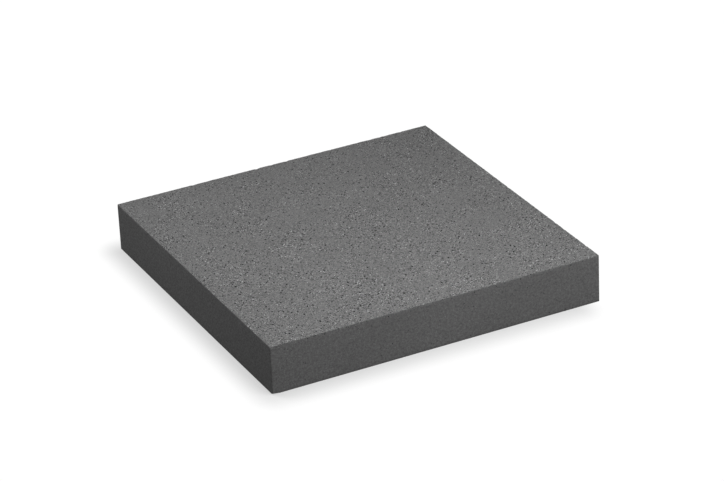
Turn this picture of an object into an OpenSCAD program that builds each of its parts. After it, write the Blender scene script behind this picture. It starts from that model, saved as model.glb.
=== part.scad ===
// Flat pillar cap: a square slab of dark concrete, cast in one piece, that covers
// the head of a masonry pillar and throws the rain clear of its faces.
//
// Frame: the origin is the centre of the underside, and +Z points up.
// Length runs along X and width along Y. All sizes are in millimetres.

/* [Slab] */
// Side of the cap along X
cap_length = 490; // [300:10:1000]
// Side of the cap along Y
cap_width = 490; // [300:10:1000]
// Height from the bed face to the top face
cap_thickness = 70; // [40:1:120]

/* [Edges] */
// Radius of the four upright corners, seen from above
corner_radius = 1.2; // [1.2:0.2:12]
// Radius of the arris round the top face
top_arris_radius = 0.9; // [0.4:0.1:1.1]
// Radius of the arris round the underside
bottom_arris_radius = 0.8; // [0.4:0.1:1.1]

/* [Drip groove] */
// Distance from a side face to the middle of the groove
groove_inset = 25; // [15:1:60]
// Width of the groove at its mouth, in the underside
groove_width = 12; // [8:0.5:16]
// Depth of the groove at its middle
groove_depth = 5; // [3:0.5:6]
// Radius of the bend at each corner, along the middle of the groove
groove_bend_radius = 15; // [12:1:40]

/* [Hidden] */
$fn = 96;

// Anthracite, the tone of concrete coloured right through with black pigment
concrete_colour = "#717171";

// The groove's section is part of a circle: its radius follows from the groove's width and
// depth, and the former that makes it reaches this far below the underside to cut clean through
groove_radius = (pow(groove_width / 2, 2) + pow(groove_depth, 2)) / (2 * groove_depth);
former_overlap = 1;

// Runs a section once round a rounded rectangle, as a former is run round a mould.
// The section's x = 0 follows the path, with +x outwards and +y up.
module run_round(length, width, bend_radius) {
    for (side = [0 : 3]) {
        along = side % 2 == 0 ? width : length;
        across = side % 2 == 0 ? length : width;
        straight = along - 2 * bend_radius;
        rotate(90 * side) {
            translate([across / 2, straight / 2, 0])
                rotate([90, 0, 0])
                    linear_extrude(straight)
                        children();
            translate([across / 2 - bend_radius, straight / 2, 0])
                rotate_extrude(angle = 90)
                    translate([bend_radius, 0])
                        children();
        }
    }
}

// What an arris of this radius takes off a square corner at the origin, whose solid lies
// below and to the left
module arris_waste(radius) {
    difference() {
        translate([-radius, -radius])
            square(2 * radius);
        translate([-radius, -radius])
            circle(radius);
    }
}

// Section of the slab's margin, as wide as the upright corners are round,
// with the arrises of the top face and the underside taken off its outer corners
module margin_section() {
    difference() {
        translate([-corner_radius, 0])
            square([corner_radius, cap_thickness]);
        translate([0, cap_thickness])
            arris_waste(top_arris_radius);
        mirror([0, 1])
            arris_waste(bottom_arris_radius);
    }
}

// Section of the groove's former: a shallow round, which draws out of the concrete freely
module groove_section() {
    intersection() {
        translate([0, groove_depth - groove_radius])
            circle(groove_radius);
        translate([-groove_width, -former_overlap])
            square([2 * groove_width, groove_depth + 2 * former_overlap]);
    }
}

// The slab with its rounded corners and arrises, before the groove
module slab() {
    middle_length = cap_length - 2 * corner_radius;
    middle_width = cap_width - 2 * corner_radius;
    translate([-middle_length / 2, -middle_width / 2, 0])
        cube([middle_length, middle_width, cap_thickness]);
    run_round(cap_length, cap_width, corner_radius)
        margin_section();
}

// The throat in the overhang, where rain that creeps in under the edge drips off
module drip_groove() {
    run_round(cap_length - 2 * groove_inset, cap_width - 2 * groove_inset, groove_bend_radius)
        groove_section();
}

module pillar_cap() {
    color(concrete_colour)
        difference() {
            slab();
            drip_groove();
        }
}

pillar_cap();
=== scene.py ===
"""A pillar cap: one square slab of dark concrete, lying on a white table in soft studio light."""

import math
import random

import bmesh
import bpy
from mathutils import Matrix, Quaternion, Vector, noise


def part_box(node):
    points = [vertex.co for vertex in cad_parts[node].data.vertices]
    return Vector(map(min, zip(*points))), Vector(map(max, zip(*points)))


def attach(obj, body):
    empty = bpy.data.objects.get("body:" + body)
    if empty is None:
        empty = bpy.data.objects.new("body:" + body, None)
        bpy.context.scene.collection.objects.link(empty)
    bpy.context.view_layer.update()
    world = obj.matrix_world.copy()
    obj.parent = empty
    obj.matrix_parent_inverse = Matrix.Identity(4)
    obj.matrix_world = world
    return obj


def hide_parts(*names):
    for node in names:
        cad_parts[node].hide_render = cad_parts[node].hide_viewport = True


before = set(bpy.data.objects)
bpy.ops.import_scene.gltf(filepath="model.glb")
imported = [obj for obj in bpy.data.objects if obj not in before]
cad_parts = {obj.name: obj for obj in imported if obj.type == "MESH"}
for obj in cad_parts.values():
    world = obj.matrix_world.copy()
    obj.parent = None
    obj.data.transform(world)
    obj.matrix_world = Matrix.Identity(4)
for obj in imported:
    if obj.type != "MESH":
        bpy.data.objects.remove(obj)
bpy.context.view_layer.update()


# THE SLAB
# One slab of stiff, fine-grained concrete, coloured through with black pigment and tamped into a
# steel mould. The sides come smooth off the plates. The top is left open and shows sand and voids,
# and its arris crumbles a little as the slab is turned out.

slab_low, slab_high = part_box("pillar_cap")
half_length = (slab_high.x - slab_low.x) / 2
half_width = (slab_high.y - slab_low.y) / 2
top_height = slab_high.z
upright_corner = 0.0012
top_arris = 0.0009
bed_arris = 0.0008

# how far the arris has come away where it crumbles, inwards and down: the rim of the open face,
# and the margin under it
rim_loss_in, rim_loss_down = 0.0007, 0.0005
margin_loss_in, margin_loss_down = 0.0009, 0.0006

# the chip off the lower tip of the front corner: its reach along the two sides, and its height
chip_along_front, chip_along_side, chip_height = 0.011, 0.004, 0.0017


def crowd_to_rim(u):
    """Draws the lines of a grid from -1 to 1 together near its ends, for finer cells at the arris."""
    return u + 0.17 * math.sin(math.pi * u) * abs(u) ** 4


def on_ring(u, v, inset, bend):
    """The point of the slab's rounded outline, this far in from its sides, that lies towards the
    point (u, v) on the rim of a square of half side 1."""
    x = u * (half_length - inset)
    y = v * (half_width - inset)
    core_x = half_length - inset - bend
    core_y = half_width - inset - bend
    near = Vector((max(-core_x, min(core_x, x)), max(-core_y, min(core_y, y))))
    return near + (Vector((x, y)) - near).normalized() * bend


def screed_sag(x, y):
    """How far the open face lies below its highest point, from the strike of the screed."""
    long_wave = 0.00008 * (1 + noise.noise(Vector((x, y, 0)) * 9))
    short_wave = 0.00004 * (1 + noise.noise(Vector((x, y, 0.2)) * 70))
    return long_wave + short_wave


def openness(x, y, below_top=0.0):
    """How open the concrete's texture is here, from 0 where it is dense to 1 where grains and voids
    show. It comes in patches, and the front half was struck off a little drier than the back. The
    sides are dense against the plates, but for a few millimetres under the top arris."""
    broad = 0.5 + 0.5 * noise.noise(Vector((x, y, 0.7 + below_top)) * 32)
    patch = broad * (0.6 + 0.4 * noise.noise(Vector((x, y, 0.9 + below_top)) * 90))
    against_plate = max(0.05, 1 - below_top / 0.005)
    return against_plate * max(0.0, min(1.0, 2.2 * patch - 0.28 - 0.6 * y))


def crumble(x, y):
    """How far the arris has come away here, from 0 to about 1: ragged all along, with a few bites."""
    ragged = 0.25 + 0.3 * noise.noise(Vector((x, y, 0.3)) * 900)
    bite = 1.6 * max(0.0, noise.noise(Vector((x, y, 0.5)) * 120) - 0.35)
    return max(0.0, ragged + bite)


def chipped(x, y):
    """How much of the chip's height is gone here: 1 at the front corner, and 0 past its reach."""
    along_front = (x + half_length) / chip_along_front
    along_side = (y + half_width) / chip_along_side
    return max(0.0, 1 - math.hypot(along_front, along_side))


# The open face starts as a grid of half side 1, with cells half as wide along its rim. Each vertex
# of the rim keeps its place (u, v) on the grid, and hands it down to the vertices below it. The
# inner ones stray by up to this share of a cell, so that the voids don't line up.
draw = random.Random(12)
top_cells = 130
cell = 2 / top_cells
stray = 0.27
slab = bmesh.new()
openness_layer = slab.verts.layers.float.new("openness")
hollow_layer = slab.verts.layers.float.new("hollow")
bmesh.ops.create_grid(slab, x_segments=top_cells, y_segments=top_cells, size=1.0)
rim_edges = [edge for edge in slab.edges if edge.is_boundary]
bmesh.ops.subdivide_edges(slab, edges=rim_edges, cuts=1)

rim_places = {}
for vert in slab.verts:
    u, v = vert.co.x, vert.co.y
    if vert.is_boundary:
        u, v = crowd_to_rim(u), crowd_to_rim(v)
        rim_places[vert] = (u, v)
        wear = crumble(*on_ring(u, v, 0, upright_corner))
        spot = on_ring(u, v, top_arris + rim_loss_in * wear, upright_corner - top_arris)
        drop = screed_sag(*spot) + rim_loss_down * wear
    else:
        if max(abs(u), abs(v)) < 1 - 2 * cell:
            u += draw.uniform(-stray, stray) * cell
            v += draw.uniform(-stray, stray) * cell
        spot = Vector((crowd_to_rim(u) * (half_length - top_arris),
                       crowd_to_rim(v) * (half_width - top_arris)))
        drop = screed_sag(*spot)
    vert.co = (spot.x, spot.y, top_height - drop)
    vert[openness_layer] = openness(*spot)

# The voids left by air and by grains that pulled out. Each kind is (width of its mouth, depth, and
# how many cells in a hundred have one where the concrete is densest and where it is most open). A
# cell beside a void has none, and a mouth stays inside its own cell.
void_kinds = [(0.0017, 0.0014, 1.5, 8.0), (0.0023, 0.0019, 2.2, 12.0),
              (0.0030, 0.0026, 1.6, 8.0), (0.0040, 0.0034, 0.3, 2.5)]
inner_faces = [face for face in slab.faces if not any(vert.is_boundary for vert in face.verts)]
voids = {}
for face in inner_faces:
    if any(other in voids for edge in face.edges for other in edge.link_faces):
        continue
    middle = face.calc_center_median()
    clear = min(abs((edge.verts[1].co - edge.verts[0].co).cross(middle - edge.verts[0].co).z)
                / edge.calc_length() for edge in face.edges)
    open_here = openness(middle.x, middle.y)
    chance = draw.uniform(0, 100)
    for width, depth, fewest, most in void_kinds:
        chance -= fewest + (most - fewest) * open_here ** 1.5
        if chance < 0:
            radius = min(width / 2 * draw.uniform(0.8, 1.15), 0.85 * clear)
            voids[face] = (radius, depth * draw.uniform(0.7, 1.1))
            break

# Each mouth is an uneven ring of eight corners, and its floor is smaller and lies deeper. The two
# insets are only a start: their vertices are moved to the mouth and to the floor.
bmesh.ops.inset_individual(slab, faces=list(voids), thickness=0.0001)
for face, (radius, depth) in voids.items():
    for edge in list(face.edges):
        bmesh.utils.edge_split(edge, edge.verts[0], 0.5)
    middle = face.calc_center_median()
    first_corner = face.verts[0].co - middle
    for corner, vert in enumerate(face.verts):
        turn = Matrix.Rotation(math.radians(45 * corner), 3, "Z")
        reach = radius * draw.uniform(0.75, 1.15)
        vert.co = middle + turn @ first_corner.normalized() * reach
floor_share = 0.6
bmesh.ops.inset_individual(slab, faces=list(voids), thickness=0.00002)
for face, (radius, depth) in voids.items():
    middle = face.calc_center_median()
    for vert in face.verts:
        vert.co = middle + floor_share * (vert.co - middle)
        vert.co.z -= depth
        # marked for the painted shade of the finish
        vert[hollow_layer] = 1

# The rows of the margin, from the top arris down the side, round the bed arris and through the
# drip groove: (inset, height, bend at the corners, share of the crumbling).
margin_rows = []
for step in (1, 2, 3):
    turn = math.radians(30 * step)
    inset = top_arris * (1 - math.sin(turn))
    height = top_height - top_arris * (1 - math.cos(turn))
    margin_rows.append((inset, height, upright_corner - inset, 1.0 - 0.2 * (step - 1)))
for below_top, share in ((0.0022, 0.25), (0.005, 0), (0.02, 0), (0.035, 0), (0.05, 0), (0.065, 0)):
    margin_rows.append((0.0, top_height - below_top, upright_corner, share))
for step in (0, 1, 2):
    turn = math.radians(45 * step)
    inset = bed_arris * (1 - math.cos(turn))
    margin_rows.append((inset, bed_arris * (1 - math.sin(turn)), upright_corner - inset, 0))

groove_inset = 0.025
groove_width = 0.012
groove_depth = 0.005
groove_bend = 0.015
groove_radius = ((groove_width / 2) ** 2 + groove_depth ** 2) / (2 * groove_depth)
groove_half_arc = math.asin(groove_width / 2 / groove_radius)
groove_steps = 6
beside_groove = 0.8 * groove_width
margin_rows.append((groove_inset - beside_groove, 0.0, groove_bend + beside_groove, 0))
for step in range(groove_steps + 1):
    turn = groove_half_arc * (2 * step / groove_steps - 1)
    across = groove_radius * math.sin(turn)
    height = groove_depth - groove_radius * (1 - math.cos(turn))
    margin_rows.append((groove_inset + across, max(height, 0.0), groove_bend - across, 0))
margin_rows.append((groove_inset + beside_groove, 0.0, groove_bend - beside_groove, 0))

# The margin is drawn out of the rim row by row. Its first two rows, on the arris, are open concrete
# and the rest is moulded. The plates of the mould aren't quite flat, so the sides aren't either.
open_face, moulded_face = 0, 1
open_rows = 2
plate_wave = 0.00003
for number, (inset, height, bend, share) in enumerate(margin_rows):
    rim_edges = [edge for edge in slab.edges if edge.is_boundary]
    made = bmesh.ops.extrude_edge_only(slab, edges=rim_edges)["geom"]
    for face in made:
        if isinstance(face, bmesh.types.BMFace):
            face.material_index = open_face if number < open_rows else moulded_face
    lower_places = {}
    for vert in made:
        if isinstance(vert, bmesh.types.BMVert):
            above = next(edge.other_vert(vert) for edge in vert.link_edges
                         if edge.other_vert(vert) in rim_places)
            lower_places[vert] = rim_places[above]
    rim_places = lower_places
    on_side = height > 0 and inset <= bed_arris
    for vert, (u, v) in rim_places.items():
        spot = on_ring(u, v, 0, upright_corner)
        wear = share * crumble(*spot)
        plate = 0
        if on_side:
            plate = plate_wave * (1 + noise.noise(Vector((spot.x, spot.y, height)) * 14))
        spot = on_ring(u, v, inset + plate + margin_loss_in * wear, bend)
        chip = chip_height * chipped(*spot) if height <= bed_arris else 0
        vert.co = (spot.x, spot.y, height - margin_loss_down * wear + chip)
        vert[openness_layer] = openness(*spot, top_height - height)

# the bed inside the groove
rim_edges = [edge for edge in slab.edges if edge.is_boundary]
for face in bmesh.ops.holes_fill(slab, edges=rim_edges, sides=0)["faces"]:
    face.material_index = moulded_face
bmesh.ops.recalc_face_normals(slab, faces=slab.faces)

# A flat lay-out of the faces, for the finish to be stored on: the top in a large square, the bed
# in a small one past its corner, and each side in a strip along one edge of the large square.
lay_out = slab.loops.layers.uv.new("OFBake")
top_square = 0.76
strip = top_square * top_height / (2 * half_length)
gap = 0.006
past_square = top_square + 2 * gap
bed_square = 1 - top_square - 3 * gap
for face in slab.faces:
    middle = face.calc_center_median()
    inside = min(half_length - abs(middle.x), half_width - abs(middle.y))
    faces_up_or_down = inside > 1.02 * top_arris
    for loop in face.loops:
        x, y, z = loop.vert.co
        along_x = (x / half_length + 1) / 2
        along_y = (y / half_width + 1) / 2
        up = z / top_height
        if faces_up_or_down and middle.z > top_height / 2:
            place = (gap + along_x * top_square, gap + along_y * top_square)
        elif faces_up_or_down:
            place = (past_square + along_x * bed_square, past_square + along_y * bed_square)
        elif abs(face.normal.y) >= abs(face.normal.x):
            row = 0 if face.normal.y < 0 else 1
            place = (gap + along_x * top_square, past_square + row * (strip + gap) + up * strip)
        else:
            row = 0 if face.normal.x < 0 else 1
            place = (past_square + row * (strip + gap) + up * strip, gap + along_y * top_square)
        loop[lay_out].uv = place

slab_mesh = bpy.data.meshes.new("concrete_slab")
slab.to_mesh(slab_mesh)
slab.free()
slab_mesh.shade_smooth()
slab_mesh.set_sharp_from_angle(angle=math.radians(38))
concrete_slab = bpy.data.objects.new("concrete_slab", slab_mesh)
bpy.context.scene.collection.objects.link(concrete_slab)


def add_node(tree, kind, inputs=(), **settings):
    """Adds a node, sets its properties, and joins or sets its inputs by name or number."""
    node = tree.nodes.new(kind)
    for name, value in settings.items():
        setattr(node, name, value)
    for name, value in dict(inputs).items():
        if isinstance(value, bpy.types.NodeSocket):
            tree.links.new(value, node.inputs[name])
        else:
            node.inputs[name].default_value = value
    return node


pigment_tone = 0.162
sand_spacing = 0.0012
pin_hole_spacing = 0.0026
# how much of the tone is left where shade is painted into a pin-hole or onto a void's floor
painted_void_shade = 0.03


def concrete_finish(name, sand, skin, quartz_from, pin_holes, hole_cells, relief):
    """Concrete coloured through with black pigment. `sand` is how far its grains differ in tone,
    `skin` how mottled the cement between them is, and `relief` the height of the grains in metres.
    Each grain and each place for a pin-hole draws a number from 0 to 1: a grain is pale quartz from
    `quartz_from` up, and `pin_holes` is the share of the places that have a pin-hole where the
    texture is dense and where it is open, with none from a share below 0. `hole_cells` is 2D where
    the face is level, so that its holes are whole."""
    finish = bpy.data.materials.new(name)
    finish.use_nodes = True
    tree = finish.node_tree
    shader = tree.nodes["Principled BSDF"]
    place = add_node(tree, "ShaderNodeTexCoord").outputs["Object"]
    texture = add_node(tree, "ShaderNodeAttribute", attribute_name="openness").outputs["Fac"]
    # the floors of the voids, marked for painted shade
    depth = add_node(tree, "ShaderNodeAttribute", attribute_name="hollow").outputs["Fac"]

    def maths(operation, first, second, third=0.0):
        return add_node(tree, "ShaderNodeMath", {0: first, 1: second, 2: third},
                        operation=operation).outputs[0]

    def grade(value, low, high, to_low, to_high):
        return add_node(tree, "ShaderNodeMapRange", {
            "Value": value, "From Min": low, "From Max": high,
            "To Min": to_low, "To Max": to_high}, interpolation_type="SMOOTHSTEP").outputs[0]

    # places are bent a little, so that grains and holes aren't straight-sided
    bent = add_node(tree, "ShaderNodeTexNoise", {"Vector": place, "Scale": 1100, "Detail": 1})
    bent = add_node(tree, "ShaderNodeVectorMath", {0: bent.outputs["Color"], "Scale": 0.0008},
                    operation="SCALE")
    bent = add_node(tree, "ShaderNodeVectorMath", {0: place, 1: bent.outputs[0]}).outputs[0]

    # grains or holes this far apart: the distance to the middle of the nearest, and its draws
    def scatter(spacing, dimensions="3D"):
        cells = add_node(tree, "ShaderNodeTexVoronoi", {"Vector": bent, "Scale": 1 / spacing},
                         voronoi_dimensions=dimensions)
        draws = add_node(tree, "ShaderNodeSeparateColor", {0: cells.outputs["Color"]})
        return cells.outputs["Distance"], draws.outputs

    # sand grains of different tones in mottled cement, with the pigment a little uneven
    fine = add_node(tree, "ShaderNodeTexNoise", {
        "Vector": place, "Scale": 330, "Detail": 6, "Roughness": 0.62})
    mottle = maths("SUBTRACT", fine.outputs["Fac"], 0.5)
    distance, draws = scatter(sand_spacing)
    body = grade(distance, 0.15, 0.65, 1, 0)
    mix = maths("MULTIPLY", maths("SUBTRACT", draws["Red"], 0.45), body)
    height = maths("MULTIPLY_ADD", body, 0.3, maths("ADD", mix, mottle))
    mix = maths("MULTIPLY", mix, maths("ADD", texture, 0.95))
    tone = maths("MULTIPLY_ADD", mix, sand, 1)
    tone = maths("MULTIPLY_ADD", mottle, skin, tone)
    broad = add_node(tree, "ShaderNodeTexNoise", {"Vector": place, "Scale": 14, "Detail": 3})
    tone = maths("MULTIPLY", tone, grade(broad.outputs["Fac"], 0.3, 0.7, 0.97, 1.03))
    rough = maths("MULTIPLY_ADD", draws["Blue"], 0.12, 0.84)

    # pale quartz, more of it laid bare where the texture is open
    quartz = maths("MULTIPLY", grade(draws["Green"], quartz_from, quartz_from + 0.02, 0, 3.8), body)
    quartz = maths("MULTIPLY", quartz, maths("MULTIPLY_ADD", texture, 1.6, 0.25))
    tone = maths("ADD", tone, quartz)

    # pin-holes, dented by the bump and darkened with painted shade, and painted shade on the floors
    # of the voids
    distance, draws = scatter(pin_hole_spacing, hole_cells)
    radius = maths("MULTIPLY_ADD", draws["Blue"], 0.12, 0.17)
    hole = grade(maths("SUBTRACT", distance, radius), -0.04, 0.06, 1, 0)
    when_dense, when_open = pin_holes
    chosen = maths("MULTIPLY_ADD", texture, when_open - when_dense,
                   maths("SUBTRACT", when_dense, draws["Green"]))
    hole = maths("MULTIPLY", hole, grade(chosen, -0.02, 0.02, 0, 1))
    height = maths("MULTIPLY_ADD", hole, -2.0, height)
    tone = maths("MULTIPLY", tone, maths("MULTIPLY_ADD", hole, painted_void_shade - 1, 1))
    tone = maths("MULTIPLY", tone, grade(depth, 0.0, 0.25, 1, painted_void_shade))

    pigment = add_node(tree, "ShaderNodeVectorMath", {0: (pigment_tone,) * 3, "Scale": tone},
                       operation="SCALE")
    bump = add_node(tree, "ShaderNodeBump", {"Height": height, "Distance": relief})
    tree.links.new(pigment.outputs[0], shader.inputs["Base Color"])
    tree.links.new(rough, shader.inputs["Roughness"])
    tree.links.new(bump.outputs["Normal"], shader.inputs["Normal"])
    shader.inputs["Specular IOR Level"].default_value = 0.1
    return finish


slab_mesh.materials.append(concrete_finish(
    "open_concrete", sand=2.3, skin=0.5, quartz_from=0.965, pin_holes=(0.05, 0.25),
    hole_cells="2D", relief=0.0003))
slab_mesh.materials.append(concrete_finish(
    "moulded_concrete", sand=0.8, skin=1.3, quartz_from=0.985, pin_holes=(-0.02, 0.9),
    hole_cells="3D", relief=0.0001))

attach(concrete_slab, "root")
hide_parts("pillar_cap")


# THE TABLE
# A white table that the cap lies on. It is level with the cap's underside, and its paper shows
# the lamps' shadow in front of the cap, lightened by a painted glow. Away from the cap and past
# its far ends the paper is painted plain white, which paints the shadow out.

table_shape = bmesh.new()
bmesh.ops.create_grid(table_shape, x_segments=1, y_segments=1, size=20)
table_mesh = bpy.data.meshes.new("table")
table_shape.to_mesh(table_mesh)
table_shape.free()
table = bpy.data.objects.new("table", table_mesh)
bpy.context.scene.collection.objects.link(table)

# how far the lamps' shadow reaches past the cap's left and front sides before painted white covers
# it, and how far short of the ends of those sides the painted white starts, at the right and at the
# back
shadow_reach = (0.045, 0.057, 1)
far_ends_painted_out = Vector((0.04, 0.015, 0))

# a little over 1, so that no noise greys it
plain_white = 1.02


def seen_directly(tree):
    """1 where the camera, a reflection or a pane shows the surface, and 0 where it only lights."""
    path = add_node(tree, "ShaderNodeLightPath")
    mirrored = add_node(tree, "ShaderNodeMath", {
        0: path.outputs["Is Glossy Ray"], 1: path.outputs["Is Transmission Ray"]},
        operation="MAXIMUM")
    return add_node(tree, "ShaderNodeMath", {
        0: path.outputs["Is Camera Ray"], 1: mirrored.outputs[0]}, operation="MAXIMUM").outputs[0]


paper = bpy.data.materials.new("white_paper")
paper.use_nodes = True
tree = paper.node_tree
tree.nodes.clear()

# how far beyond the cap a spot lies, from 0 at the cap to 1 where painted white has covered the
# shadow
spot = add_node(tree, "ShaderNodeTexCoord").outputs["Object"]
spot = add_node(tree, "ShaderNodeVectorMath", {0: spot, 1: far_ends_painted_out / 2}, operation="ADD")
spot = add_node(tree, "ShaderNodeVectorMath", {0: spot.outputs[0]}, operation="ABSOLUTE")
shaded_half = Vector((half_length, half_width, 0)) - far_ends_painted_out / 2
beyond = add_node(tree, "ShaderNodeVectorMath", {
    0: spot.outputs[0], 1: shaded_half}, operation="SUBTRACT")
beyond = add_node(tree, "ShaderNodeVectorMath", {
    0: beyond.outputs[0], 1: (0, 0, 0)}, operation="MAXIMUM")
beyond = add_node(tree, "ShaderNodeVectorMath", {
    0: beyond.outputs[0], 1: shadow_reach}, operation="DIVIDE")
beyond = add_node(tree, "ShaderNodeVectorMath", {0: beyond.outputs[0]}, operation="LENGTH")
painted_white_fade = add_node(tree, "ShaderNodeMapRange", {
    "Value": beyond.outputs["Value"]}, interpolation_type="SMOOTHSTEP")

# what the table shows, with a painted glow that lightens its shadow, and the dimmer tone with which
# it lights the cap
dim = add_node(tree, "ShaderNodeBsdfDiffuse", {"Color": (0.13, 0.13, 0.13, 1)})
shaded = add_node(tree, "ShaderNodeBsdfDiffuse", {"Color": (0.38, 0.38, 0.38, 1)})
painted_glow = add_node(tree, "ShaderNodeEmission", {"Strength": 0.47})
shaded = add_node(tree, "ShaderNodeAddShader", {0: shaded.outputs[0], 1: painted_glow.outputs[0]})
white = add_node(tree, "ShaderNodeEmission", {"Strength": plain_white})
shown = add_node(tree, "ShaderNodeMixShader", {
    0: painted_white_fade.outputs[0], 1: shaded.outputs[0], 2: white.outputs[0]})
surface = add_node(tree, "ShaderNodeMixShader", {
    0: seen_directly(tree), 1: dim.outputs[0], 2: shown.outputs[0]})
add_node(tree, "ShaderNodeOutputMaterial", {"Surface": surface.outputs[0]})
table_mesh.materials.append(paper)


# THE LIGHT
# A pale room with three softboxes: one high on the left behind the cap, one lower in front of it,
# and a small one over its front half.

room = bpy.data.worlds.new("room")
bpy.context.scene.world = room
room.use_nodes = True
tree = room.node_tree
tree.nodes.clear()
walls = add_node(tree, "ShaderNodeBackground", {"Color": (1, 1, 1, 1), "Strength": 0.2})
backdrop = add_node(tree, "ShaderNodeBackground", {
    "Color": (1, 1, 1, 1), "Strength": plain_white})
surface = add_node(tree, "ShaderNodeMixShader", {
    0: seen_directly(tree), 1: walls.outputs[0], 2: backdrop.outputs[0]})
add_node(tree, "ShaderNodeOutputWorld", {"Surface": surface.outputs[0]})

aim = Vector((0, 0, 0.05))
for name, place, size, power in (("key_softbox", (-0.596, 0.344, 1.033), 0.5, 5.12),
                                 ("front_softbox", (0.218, -0.814, 0.757), 1.0, 6.25),
                                 ("top_softbox", (0.06, -0.225, 0.548), 0.6, 1.1)):
    lamp = bpy.data.lights.new(name, "AREA")
    lamp.size = size
    lamp.energy = power
    softbox = bpy.data.objects.new(name, lamp)
    softbox.location = place
    softbox.rotation_mode = "QUATERNION"
    softbox.rotation_quaternion = (softbox.location - aim).to_track_quat("Z", "Y")
    bpy.context.scene.collection.objects.link(softbox)


# THE CAMERA
# A long lens that stands well back, a little above the cap and towards its front left corner, and
# is rolled slightly to one side.

lens = bpy.data.cameras.new("camera")
lens.lens = 163.6
camera = bpy.data.objects.new("camera", lens)
azimuth = math.radians(-26.06)
elevation = math.radians(26.73)
roll = math.radians(-2.69)
target = Vector((0.0198, 0.0134, 0.0412))
distance = 4.53
towards_camera = Vector((math.sin(azimuth) * math.cos(elevation),
                         -math.cos(azimuth) * math.cos(elevation), math.sin(elevation)))
camera.location = target + towards_camera * distance
camera.rotation_mode = "QUATERNION"
camera.rotation_quaternion = (towards_camera.to_track_quat("Z", "Y")
                              @ Quaternion((0, 0, 1), roll))
bpy.context.scene.collection.objects.link(camera)
bpy.context.scene.camera = camera

bpy.context.scene.view_settings.view_transform = "Standard"
